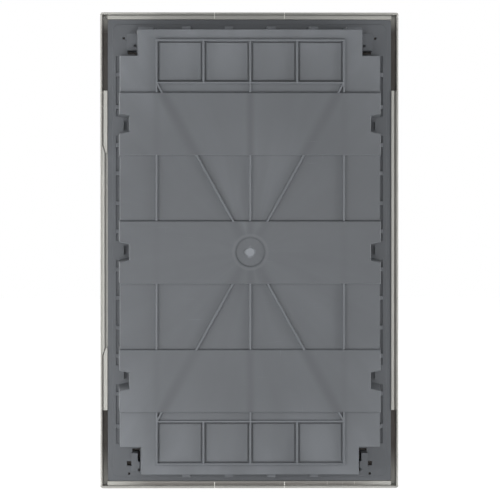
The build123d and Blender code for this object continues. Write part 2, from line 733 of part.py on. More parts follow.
# Front cover: one moulding, whose well passes between the notch columns of the box
well_width = 2 * (notch_floor_x(well_rear) - wall - well_play - cover_wall)
with BuildPart() as front_cover:
    # Tray of plate and skirt, with a wide land along the middle of both sides
    half_cover = cover_width / 2
    with BuildSketch(depth_plane(box_depth)):
        RectangleRounded(cover_width, cover_height, cover_corner)
    extrude(amount=cover_rise)
    fillet(front_cover.faces().sort_by(Axis.Y)[0].edges(), cover_edge)
    with BuildSketch(Plane.XY):
        for side in (-1, 1):
            with BuildLine():
                Polyline(
                    (side * (half_cover - side_bevel_width), -box_depth),
                    (side * half_cover, -box_depth),
                    (side * half_cover, -box_depth - side_bevel_depth),
                    close=True,
                )
            make_face()
    extrude(amount=cover_height / 2 - cover_corner, both=True, mode=Mode.SUBTRACT)
    with BuildSketch(depth_plane(box_depth)):
        Rectangle(inner_width, inner_height)
        land_reach = inner_width / 2 - land_x
        with Locations((-land_x - land_reach / 2, 0), (land_x + land_reach / 2, 0)):
            Rectangle(land_reach, land_length, mode=Mode.SUBTRACT)
    extrude(amount=land_thickness, mode=Mode.SUBTRACT)
    with BuildSketch(depth_plane(box_depth + land_thickness)):
        Rectangle(inner_width, inner_height)
    extrude(amount=cover_plate_rear - box_depth - land_thickness, mode=Mode.SUBTRACT)

    # Thick bars along the top and bottom, each with a seal groove that two webs cross
    bar_reach = inner_height / 2 + join - lip_z
    groove_z = (inner_height - seal_groove_width) / 2
    with BuildSketch(depth_plane(box_depth + lip_drop)):
        with Locations((0, lip_z + bar_reach / 2), (0, -lip_z - bar_reach / 2)):
            Rectangle(2 * land_x, bar_reach)
    extrude(amount=cover_plate_rear + join - box_depth - lip_drop)
    with BuildSketch(depth_plane(box_depth)):
        for end in (-1, 1):
            with Locations((0, end * groove_z)):
                Rectangle(2 * land_x, seal_groove_width)
            with Locations((-web_offset, end * groove_z), (web_offset, end * groove_z)):
                Rectangle(web_width, seal_groove_width, mode=Mode.SUBTRACT)
    extrude(amount=seal_groove_depth, mode=Mode.SUBTRACT)

    # Finger grip on the opening side: a closed wall behind it, then a concave scoop from outside
    grip_rear = flange_front + land_play
    grip_middle = box_depth + grip_edge + grip_reach
    with BuildSketch(depth_plane(grip_rear)):
        with Locations((half_cover - (grip_reach + cover_wall + cover_wall / 2) / 2, 0)):
            Rectangle(grip_reach + cover_wall / 2, grip_length + 2 * cover_wall)
    extrude(amount=cover_plate_rear + join - grip_rear)
    with BuildSketch(Plane.XY):
        with BuildLine():
            scoop = CenterArc((half_cover, -grip_middle), grip_reach, 90, 90)
            Polyline(
                scoop @ 1,
                (half_cover - grip_reach, -cover_front - join),
                (half_cover + join, -cover_front - join),
                (half_cover + join, -box_depth - grip_edge),
                scoop @ 0,
            )
        make_face()
    extrude(amount=grip_length / 2, both=True, mode=Mode.SUBTRACT)

    # Grooves along the lands, of which one steps inward behind the finger grip, and slits at their ends
    plain_x = half_cover - land_groove_inset
    grip_x = half_cover - grip_groove_inset
    half_land = land_length / 2
    bend_start = (grip_length + grip_reach) / 2
    bend_end = (grip_length - grip_reach) / 2
    with BuildSketch(depth_plane(box_depth)):
        with BuildLine():
            Polyline(
                (plain_x, -half_land),
                (plain_x, -bend_start),
                (grip_x, -bend_end),
                (grip_x, bend_end),
                (plain_x, bend_start),
                (plain_x, half_land),
            )
        trace(line_width=land_groove_width)
        with Locations((hinge_groove_inset - half_cover, 0)):
            Rectangle(hinge_groove_width, land_length)
    extrude(amount=land_groove_depth, mode=Mode.SUBTRACT)
    with BuildSketch(depth_plane(box_depth)):
        with Locations(((land_x + grip_x) / 2, 0)):
            Rectangle(grip_x - land_x, 2 * bend_end)
    extrude(amount=grip_land_drop, mode=Mode.SUBTRACT)
    with BuildSketch(depth_plane(box_depth)):
        with Locations(*[(side * half_cover, end * (half_land - slit_inset)) for side, end in corners]):
            Rectangle(slit_size, slit_size, rotation=45)
    extrude(amount=slit_depth, mode=Mode.SUBTRACT)

    # Well with the three device slots, their collars and the recesses for the row labels
    with BuildSketch(depth_plane(well_rear)):
        Rectangle(well_width + 2 * cover_wall, well_height + 2 * cover_wall)
    extrude(amount=cover_front - well_rear)
    with BuildSketch(depth_plane(well_front)):
        Rectangle(well_width, well_height)
    extrude(amount=cover_rise, mode=Mode.SUBTRACT)
    with BuildSketch(depth_plane(well_front)):
        with Locations(*[(0, row) for row in row_axes]):
            Rectangle(slot_length + 2 * collar_width, slot_height + 2 * collar_width)
    extrude(amount=collar_rise)
    with BuildSketch(depth_plane(well_rear)):
        with Locations(*[(0, row) for row in row_axes]):
            Rectangle(slot_length, slot_height)
    extrude(amount=well_floor + collar_rise, mode=Mode.SUBTRACT)
    with BuildSketch(depth_plane(well_front - label_recess)):
        with Locations(*[(0, row - label_offset) for row in row_axes]):
            Rectangle(slot_length + 2 * label_play, label_height + 2 * label_play)
    extrude(amount=label_recess, mode=Mode.SUBTRACT)

    # Seats for the quarter-turn fasteners, on tubes that bear on the flange of the box
    shank_hole = fastener_shank_radius + fastener_head_play
    head_hole = fastener_head_radius + fastener_head_play
    with BuildSketch(depth_plane(flange_front)):
        with Locations(*fastener_places):
            Circle(shank_hole + fastener_tube_wall)
    extrude(amount=cover_plate_rear + join - flange_front)
    with BuildSketch(depth_plane(fastener_seat - cover_wall)):
        with Locations(*fastener_places):
            Circle(head_hole + fastener_seat_wall)
    extrude(amount=cover_plate_rear + join - fastener_seat + cover_wall)
    with BuildSketch(depth_plane(fastener_seat)):
        with Locations(*fastener_places):
            Circle(head_hole)
    extrude(amount=fastener_head_height, mode=Mode.SUBTRACT)
    with BuildSketch(depth_plane(flange_front)):
        with Locations(*fastener_places):
            Circle(shank_hole)
    extrude(amount=fastener_seat - flange_front, mode=Mode.SUBTRACT)

    # Hinge lugs, each with a round eye on a heel that lets the door swing past the skirt
    for hinge_z in hinge_places:
        with BuildSketch(Plane.XY.offset(hinge_z - lug_height / 2)):
            with Locations((hinge_x, -hinge_depth)):
                Circle(lug_radius)
            with Locations((hinge_x + (lug_radius - lug_heel) / 2, -(hinge_depth + cover_front - join) / 2)):
                Rectangle(lug_radius + lug_heel, hinge_rise + join)
            with Locations((hinge_x, -hinge_depth)):
                Circle(pin_radius, mode=Mode.SUBTRACT)
        extrude(amount=lug_height)
front_cover.part.label = "front_cover"
export_step(front_cover.part, "parts/front_cover.step")

# Quarter-turn fasteners, one in each corner of the cover
fastener_names = {
    (-1, 1): "upper_left",
    (1, 1): "upper_right",
    (-1, -1): "lower_left",
    (1, -1): "lower_right",
}
for (side, end), place_name in fastener_names.items():
    with BuildPart() as fastener:
        place = (side * tower_x[end], end * tower_z[end])
        head_rear = fastener_seat + fastener_play
        with BuildSketch(depth_plane(head_rear)):
            with Locations(place):
                Circle(fastener_head_radius)
        extrude(amount=cover_front - head_rear)
        with BuildSketch(depth_plane(cover_front - driver_slot_depth)):
            with Locations(place):
                Rectangle(driver_slot_width, 2 * fastener_head_radius)
        extrude(amount=driver_slot_depth, mode=Mode.SUBTRACT)
        with BuildSketch(depth_plane(fastener_tip)):
            with Locations(place):
                Circle(fastener_shank_radius)
        extrude(amount=head_rear - fastener_tip)
    fastener.part.label = f"cover_fastener_{place_name}"
    export_step(fastener.part, f"parts/cover_fastener_{place_name}.step")

# Row labels, laid in their recesses
for number, row in enumerate(row_axes, start=1):
    with BuildPart() as row_label:
        with BuildSketch(depth_plane(well_front - label_recess)):
            with Locations((0, row - label_offset)):
                Rectangle(slot_length, label_height)
        extrude(amount=label_sheet)
    row_label.part.label = f"row_label_{number}"
    export_step(row_label.part, f"parts/row_label_{number}.step")

# Door: one moulding, a shallow tray with stiffening ribs, four hinge knuckles and a catch nose
with BuildPart() as door:
    with BuildSketch(depth_plane(door_rear)):
        RectangleRounded(cover_width, cover_height, cover_corner)
    extrude(amount=door_front - door_rear)
    fillet(door.faces().sort_by(Axis.Y)[0].edges(), door_edge)
    with BuildSketch(depth_plane(door_rear)):
        RectangleRounded(cover_width - 2 * door_lip, cover_height - 2 * door_lip, cover_corner - door_lip)
    extrude(amount=door_inner - door_rear, mode=Mode.SUBTRACT)
    rib_frame_width = cover_width - 2 * door_rib_inset
    rib_frame_height = cover_height - 2 * door_rib_inset
    with BuildSketch(depth_plane(door_inner - door_rib_rise)):
        frame = Rectangle(rib_frame_width, rib_frame_height)
        offset(frame, amount=-door_rib_width, mode=Mode.SUBTRACT)
        with Locations(*[(0, zone) for zone in zone_axes]):
            Rectangle(rib_frame_width, door_rib_width)
    extrude(amount=door_rib_rise + join)

    # Hinge knuckles either side of each lug, with the side lip open at the lug
    for hinge_z in hinge_places:
        lug_room = lug_height + 2 * knuckle_gap
        with BuildSketch(Plane.XY.offset(hinge_z - lug_room / 2)):
            with Locations((hinge_x - hinge_inset, -(door_rear + door_inner) / 2)):
                Rectangle(2 * (hinge_inset + lug_radius + knuckle_gap), door_inner - door_rear)
        extrude(amount=lug_room, mode=Mode.SUBTRACT)
        for start in (hinge_z + lug_room / 2, hinge_z - lug_room / 2 - knuckle_height):
            with BuildSketch(Plane.XY.offset(start)):
                with Locations((hinge_x, -hinge_depth)):
                    Circle(lug_radius)
                with Locations((hinge_x, -(hinge_depth + door_inner + join) / 2)):
                    Rectangle(2 * lug_radius, door_inner + join - hinge_depth)
            extrude(amount=knuckle_height)
            with BuildSketch(Plane.XY.offset(start)):
                with Locations((hinge_x, -hinge_depth)):
                    Circle(pin_radius + pin_play)
            extrude(amount=knuckle_height, mode=Mode.SUBTRACT)

    # Catch nose on the opening side
    with BuildSketch(depth_plane(door_inner - nose_reach)):
        with Locations((catch_x, 0)):
            Rectangle(nose_width, nose_length)
    extrude(amount=nose_reach + join)
door.part.label = "door"
export_step(door.part, "parts/door.step")

# Hinge pins, held in the lugs
pin_length = lug_height + 2 * (knuckle_gap + knuckle_height)
for place_name, hinge_z in zip(("upper", "lower"), hinge_places):
    with BuildPart() as hinge_pin:
        with BuildSketch(Plane.XY.offset(hinge_z - pin_length / 2)):
            with Locations((hinge_x, -hinge_depth)):
                Circle(pin_radius)
        extrude(amount=pin_length)
    hinge_pin.part.label = f"hinge_pin_{place_name}"
    export_step(hinge_pin.part, f"parts/hinge_pin_{place_name}.step")

# Spring catch: two prongs that hold the nose of the door
with BuildPart() as door_catch:
    prong_offset = nose_width / 2 + catch_play + catch_prong / 2
    with BuildSketch(depth_plane(cover_front)):
        with Locations((catch_x, 0)):
            Rectangle(2 * prong_offset + catch_prong, nose_length)
    extrude(amount=catch_base)
    with BuildSketch(depth_plane(cover_front)):
        with Locations((catch_x - prong_offset, 0), (catch_x + prong_offset, 0)):
            Rectangle(catch_prong, nose_length)
    extrude(amount=catch_top - cover_front)
door_catch.part.label = "door_catch"
export_step(door_catch.part, "parts/door_catch.step")
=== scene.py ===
"""Looks of a flush-mount distribution board seen from behind: a ribbed grey box in an off-white cover."""

import logging
import math
from dataclasses import dataclass
from enum import Enum
from typing import Iterable, Optional, Union

import bmesh
import bpy
from bmesh.types import BMesh, BMFace, BMVert
from bpy.types import ID, Material, Mesh, Node, NodeSocket as Socket, NodeTree, Object
from mathutils import Matrix, Vector


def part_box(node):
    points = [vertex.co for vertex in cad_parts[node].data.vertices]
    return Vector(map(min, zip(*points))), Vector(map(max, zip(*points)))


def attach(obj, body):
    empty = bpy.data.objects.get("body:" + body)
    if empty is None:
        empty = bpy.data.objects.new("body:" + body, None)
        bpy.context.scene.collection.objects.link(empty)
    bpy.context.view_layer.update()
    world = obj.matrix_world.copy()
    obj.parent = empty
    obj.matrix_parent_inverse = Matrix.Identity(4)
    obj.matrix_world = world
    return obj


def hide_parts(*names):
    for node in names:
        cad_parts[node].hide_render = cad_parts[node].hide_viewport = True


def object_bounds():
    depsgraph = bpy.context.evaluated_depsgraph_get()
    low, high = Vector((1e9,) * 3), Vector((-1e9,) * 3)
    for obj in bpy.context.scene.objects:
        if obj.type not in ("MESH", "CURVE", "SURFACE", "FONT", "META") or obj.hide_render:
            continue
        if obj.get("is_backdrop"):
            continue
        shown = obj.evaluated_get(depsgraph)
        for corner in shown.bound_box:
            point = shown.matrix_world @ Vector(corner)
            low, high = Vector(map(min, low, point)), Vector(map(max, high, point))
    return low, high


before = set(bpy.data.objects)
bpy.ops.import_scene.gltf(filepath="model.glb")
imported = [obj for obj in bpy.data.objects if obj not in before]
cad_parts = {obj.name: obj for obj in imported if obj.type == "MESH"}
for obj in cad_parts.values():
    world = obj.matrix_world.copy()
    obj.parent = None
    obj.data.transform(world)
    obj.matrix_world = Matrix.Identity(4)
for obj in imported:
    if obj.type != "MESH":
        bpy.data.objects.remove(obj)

LOG = logging.getLogger("distribution_board")
MM = 0.001
WHITE = (1.0, 1.0, 1.0, 1.0)
CENTRE = (0.0, 0.0, 0.0)
MODULE = 17.5 * MM
# Turns a shape that faces up so that it faces the front of the board
TO_FRONT = Matrix.Rotation(math.radians(90), 4, "X")
# Sockets of a Mix node for its share, its two colours and the mixed colour
MIX_INPUTS = (0, 6, 7)
MIX_RESULT = 2
# Rays that see the surroundings as they look, not as light that falls in
DIRECT_RAYS = ("Is Camera Ray", "Is Glossy Ray", "Is Transmission Ray")
# Where a normal's part along +Y starts to count as facing the rear, and where it does so fully
FACING_REAR = (0.3, 0.7)

Colour = tuple[float, float, float]
Place = tuple[float, float, float]
Range = tuple[float, float]
Ranges = tuple[tuple[float, ...], ...]
Source = Union[Socket, float, tuple]
Inputs = dict[Union[str, int], Source]


class Recess(Enum):
    """Driver recess of a screw: its reach in head radii and the level of its floor in head heights."""

    CROSS = (0.62, 0.35)
    SLOT = (1.2, 0.45)


class Grain(Enum):
    """Direction in which a metal was drawn or brushed, as stretch factors of its noise."""

    ALONG_X = (0.02, 1.0, 1.0)
    ALONG_Z = (1.0, 1.0, 0.02)


def linear(shade: Colour, share: float = 1.0) -> tuple[float, float, float, float]:
    """Turns a display colour into a linear one, by the standard curve.

    Args:
        shade: Red, green and blue from 0 to 255.
        share: What each channel is first multiplied by, up to full brightness.

    Returns:
        Linear red, green, blue and a full alpha.
    """
    parts = [min(255.0, value * share) / 255 for value in shade]
    bent = [v / 12.92 if v <= 0.04045 else ((v + 0.055) / 1.055) ** 2.4 for v in parts]
    return (*bent, 1.0)


class NodeBench:
    """Short calls for building one shader node tree."""

    def __init__(self, tree: NodeTree) -> None:
        """Keeps the tree that the calls add to."""
        self.tree = tree

    def feed(self, node: Node, inputs: Inputs) -> None:
        """Links inputs of a node to other sockets, or sets their values.

        Args:
            node: The node to feed.
            inputs: An output socket, a number or a vector for each input, by its name or index.
        """
        for key, source in inputs.items():
            if isinstance(source, Socket):
                self.tree.links.new(source, node.inputs[key])
            else:
                node.inputs[key].default_value = source

    def add(self, kind: str, inputs: Optional[Inputs] = None, **settings: object) -> Node:
        """Adds a node.

        Args:
            kind: Blender's type name of the node.
            inputs: What feeds it.
            settings: Properties to set on it.

        Returns:
            The new node.
        """
        node = self.tree.nodes.new(kind)
        for name, value in settings.items():
            setattr(node, name, value)
        self.feed(node, inputs or {})
        return node

    def math(self, operation: str, *sources: Source) -> Socket:
        """Returns the result of a Math node with the sources as its operands."""
        return self.add("ShaderNodeMath", dict(enumerate(sources)), operation=operation).outputs[0]

    def fold(self, operation: str, first: Source, *others: Source) -> Source:
        """Joins several values by one operation, such as MULTIPLY or MAXIMUM.

        Args:
            operation: Name of the operation.
            first: The value to start with.
            others: The values to join to it, one after the other.

        Returns:
            The result's socket.
        """
        for other in others:
            first = self.math(operation, first, other)
        return first

    def apart(self, value: Source, middle: Source) -> Socket:
        """Returns how far a value lies from a middle value."""
        return self.math("ABSOLUTE", self.math("SUBTRACT", value, middle))

    def fade(self, value: Source, start: float, end: float, low: float = 0.0, high: float = 1.0) -> Socket:
        """Returns a value mapped smoothly, from low where it is at the start to high at the end."""
        inputs = {"Value": value, "From Min": start, "From Max": end, "To Min": low, "To Max": high}
        return self.add("ShaderNodeMapRange", inputs, interpolation_type="SMOOTHSTEP").outputs["Result"]

    def fades(self, value: Source, *ranges: tuple[float, ...]) -> Source:
        """Returns the product of several fades of one value."""
        return self.fold("MULTIPLY", *(self.fade(value, *limits) for limits in ranges))

    def mix(self, share: Source, first: Source, second: Source, blend: str = "MIX") -> Socket:
        """Returns a mix of two colours, with the given share of the second one."""
        inputs = dict(zip(MIX_INPUTS, (share, first, second)))
        return self.add("ShaderNodeMix", inputs, data_type="RGBA", blend_type=blend).outputs[MIX_RESULT]

    def place(self) -> Socket:
        """Returns the surface point in object coordinates, in metres."""
        return self.add("ShaderNodeTexCoord").outputs["Object"]

    def split(self, coordinate: str = "Object") -> Node:
        """Returns a node that splits a texture coordinate into the outputs X, Y and Z."""
        return self.add("ShaderNodeSeparateXYZ", {0: self.add("ShaderNodeTexCoord").outputs[coordinate]})

    def distance(self) -> Socket:
        """Returns how far the surface point lies from the origin, in metres."""
        return self.add("ShaderNodeVectorMath", {0: self.place()}, operation="LENGTH").outputs["Value"]

    def stretched(self, stretch: tuple[float, ...]) -> Socket:
        """Returns the object coordinates multiplied by a factor for each axis."""
        return self.add("ShaderNodeMapping", {"Vector": self.place(), "Scale": stretch}).outputs["Vector"]

    def noise(self, scale: Source, detail: float, at: Optional[Source] = None, rough: float = 0.5) -> Socket:
        """Adds a noise texture.

        Args:
            scale: Waves to the metre.
            detail: Octaves.
            at: Where to read it, or object coordinates if not given.
            rough: Weight of the finer octaves.

        Returns:
            The noise value's socket.
        """
        place = self.place() if at is None else at
        inputs = {"Vector": place, "Scale": scale, "Detail": detail, "Roughness": rough}
        return self.add("ShaderNodeTexNoise", inputs).outputs["Fac"]

    def group(self, tree: NodeTree, **values: Source) -> Node:
        """Returns a node that places a group, with its inputs fed by name."""
        return self.add("ShaderNodeGroup", values, node_tree=tree)

    def bump(self, height: Source, distance: float, normal: Source) -> Socket:
        """Returns a normal bent by a height, of which 1 stands for the distance in metres."""
        inputs = {"Distance": distance, "Height": height, "Normal": normal}
        return self.add("ShaderNodeBump", inputs).outputs["Normal"]


def new_group(
    name: str, inputs: dict[str, float], outputs: dict[str, str]
) -> tuple[NodeBench, Node, Node]:
    """Starts a shader node group.

    Args:
        name: Name of the group.
        inputs: Its number inputs with their usual values.
        outputs: Its outputs with their socket types.

    Returns:
        The bench for its nodes, its input node and its output node.
    """
    tree = bpy.data.node_groups.new(name, "ShaderNodeTree")
    for label, value in inputs.items():
        tree.interface.new_socket(label, in_out="INPUT", socket_type="NodeSocketFloat").default_value = value
    for label, kind in outputs.items():
        tree.interface.new_socket(label, in_out="OUTPUT", socket_type=kind)
    bench = NodeBench(tree)
    return bench, bench.add("NodeGroupInput"), bench.add("NodeGroupOutput")


class SharedEffects:
    """Node groups that several finishes use, each built once."""

    coarse_waves: float = 0.23
    coarse_weight: float = 0.6
    mottle_waves: float = 7.0
    mottle_limits: Range = (0.3, 0.7)
    edge_turn: Range = (0.99, 0.80)
    chip_waves: float = 260.0
    chip_limits: Range = (0.35, 0.65)
    chip_least: float = 0.45
    scuff_waves: Range = (900.0, 700.0)
    scuff_stretches: Ranges = ((0.03, 1.0, 1.0), (1.0, 1.0, 0.04))
    scuff_limits: Ranges = ((0.66, 0.74), (0.67, 0.75))
    patch_waves: float = 14.0
    patch_limits: Range = (0.5, 0.68)
    sheltered: Range = (0.85, 0.2)

    def __init__(self) -> None:
        """Builds the groups."""
        self.mould_grain = self.build_mould_grain()
        self.edge_wear = self.build_edge_wear()
        self.scuffs = self.build_scuffs()
        self.recess_shade = self.build_recess_shade()

    def build_mould_grain(self) -> NodeTree:
        """Builds the fine grain of a mould's wall and the slow mottling of the melt.

        Returns:
            A group with the input Waves and the outputs Height and Mottle.
        """
        outputs = {"Height": "NodeSocketFloat", "Mottle": "NodeSocketFloat"}
        bench, given, result = new_group("mould_grain", {"Waves": 1200.0}, outputs)
        fine = bench.noise(given.outputs["Waves"], detail=3.0, rough=0.6)
        coarse = bench.noise(bench.math("MULTIPLY", given.outputs["Waves"], self.coarse_waves), detail=2.0)
        fine = bench.math("MULTIPLY", fine, 1 - self.coarse_weight)
        slow = bench.noise(self.mottle_waves, detail=4.0, rough=0.55)
        height = bench.math("MULTIPLY_ADD", coarse, self.coarse_weight, fine)
        bench.feed(result, {"Height": height, "Mottle": bench.fade(slow, *self.mottle_limits)})
        return bench.tree

    def build_edge_wear(self) -> NodeTree:
        """Builds a mask and a rounded normal for the edges of a piece.

        Returns:
            A group with the input Radius and the outputs Edge and Normal.
        """
        outputs = {"Edge": "NodeSocketFloat", "Normal": "NodeSocketVector"}
        bench, given, result = new_group("edge_wear", {"Radius": 0.0005}, outputs)
        rounded = bench.add("ShaderNodeBevel", {"Radius": given.outputs["Radius"]}, samples=6)
        surface = bench.add("ShaderNodeNewGeometry")
        normals = {0: rounded.outputs["Normal"], 1: surface.outputs["True Normal"]}
        turn = bench.add("ShaderNodeVectorMath", normals, operation="DOT_PRODUCT")
        mask = bench.fade(turn.outputs["Value"], *self.edge_turn)
        chips = bench.noise(self.chip_waves, detail=3.0)
        ragged = bench.fade(chips, *self.chip_limits, low=self.chip_least)
        edge = bench.math("MULTIPLY", mask, ragged)
        bench.feed(result, {"Edge": edge, "Normal": rounded.outputs["Normal"]})
        return bench.tree

    def build_scuffs(self) -> NodeTree:
        """Builds thin handling marks in two directions.

        Returns:
            A group with the input Amount and the output Mask.
        """
        bench, given, result = new_group("scuffs", {"Amount": 0.5}, {"Mask": "NodeSocketFloat"})
        lines = []
        for waves, stretch, limits in zip(self.scuff_waves, self.scuff_stretches, self.scuff_limits):
            lines.append(bench.fade(bench.noise(waves, detail=2.0, at=bench.stretched(stretch)), *limits))
        marks = bench.math("MAXIMUM", *lines)
        patches = bench.fade(bench.noise(self.patch_waves, detail=2.0), *self.patch_limits)
        bench.feed(result, {"Mask": bench.fold("MULTIPLY", marks, patches, given.outputs["Amount"])})
        return bench.tree

    def build_recess_shade(self) -> NodeTree:
        """Builds a mask of painted shade in grooves, corners and deep gaps, read from ambient occlusion.

        Returns:
            A group with the inputs Reach and Amount and the output Mask.
        """
        inputs = {"Reach": 0.004, "Amount": 0.5}
        bench, given, result = new_group("recess_shade", inputs, {"Mask": "NodeSocketFloat"})
        # Painted shade: darker where ambient occlusion finds the surface sheltered
        shelter = bench.add("ShaderNodeAmbientOcclusion", {"Distance": given.outputs["Reach"]}, samples=8)
        deep = bench.fade(shelter.outputs["AO"], *self.sheltered)
        bench.feed(result, {"Mask": bench.math("MULTIPLY", deep, given.outputs["Amount"])})
        return bench.tree


EFFECTS = SharedEffects()


def new_material(name: str) -> tuple[Material, NodeBench, Node]:
    """Starts a material.

    Args:
        name: Name of the material.

    Returns:
        The material, the bench for its nodes and its Principled shader.
    """
    material = bpy.data.materials.new(name)
    material.use_nodes = True
    return material, NodeBench(material.node_tree), material.node_tree.nodes["Principled BSDF"]


@dataclass(frozen=True)
class MouldedPlastic:
    """Injection-moulded plastic with fine grain, slow mottling, slightly worn edges, scuffs and painted shade
    in its recesses.

    Shades are display colours, tints are shares of the shade, waves are to the metre and lengths in metres.
    """

    name: str
    shade: Colour
    variation: float = 0.03
    worn: float = 1.12
    roughness: Range = (0.42, 0.54)
    waves: float = 1200.0
    grain: float = 0.00003
    edge: float = 0.0005
    edge_share: float = 0.6
    scuff: float = 0.5
    scuff_tint: float = 1.15
    scuff_rough: float = 0.15
    specular: float = 0.4
    # Painted shade in grooves, corners and gaps: its reach, amount and tint
    recess_shade_reach: float = 0.004
    recess_shade_amount: float = 0.4
    recess_shade_tint: float = 0.45

    def colour(self, bench: NodeBench, mottle: Source) -> Socket:
        """Returns the body colour, mottled between a darker and a lighter shade."""
        dark, light = (linear(self.shade, 1 + change) for change in (-self.variation, self.variation))
        return bench.mix(mottle, dark, light)

    def material(self) -> Material:
        """Builds the finish.

        Returns:
            The finished material.
        """
        material, bench, shader = new_material(self.name)
        grain = bench.group(EFFECTS.mould_grain, Waves=self.waves)
        wear = bench.group(EFFECTS.edge_wear, Radius=self.edge)
        scuffs = bench.group(EFFECTS.scuffs, Amount=self.scuff)
        recess_shading = bench.group(EFFECTS.recess_shade, Reach=self.recess_shade_reach, Amount=self.recess_shade_amount)
        colour = self.colour(bench, grain.outputs["Mottle"])
        worn = bench.math("MULTIPLY", wear.outputs["Edge"], self.edge_share)
        colour = bench.mix(worn, colour, linear(self.shade, self.worn))
        colour = bench.mix(scuffs.outputs["Mask"], colour, linear(self.shade, self.scuff_tint))
        # Painted shade in the recesses
        colour = bench.mix(recess_shading.outputs["Mask"], colour, linear(self.shade, self.recess_shade_tint))
        rough = bench.fade(grain.outputs["Mottle"], 0.0, 1.0, *self.roughness)
        rough = bench.math("MULTIPLY_ADD", scuffs.outputs["Mask"], self.scuff_rough, rough)
        normal = bench.bump(grain.outputs["Height"], self.grain, wear.outputs["Normal"])
        bench.feed(shader, {"Base Color": colour, "Roughness": rough, "Normal": normal})
        bench.feed(shader, {"Specular IOR Level": self.specular})
        return material


@dataclass(frozen=True)
class Ring:
    """An uneven ring around the gate, with lengths in metres."""

    radius: float
    width: float
    ragged: float
    tint: float


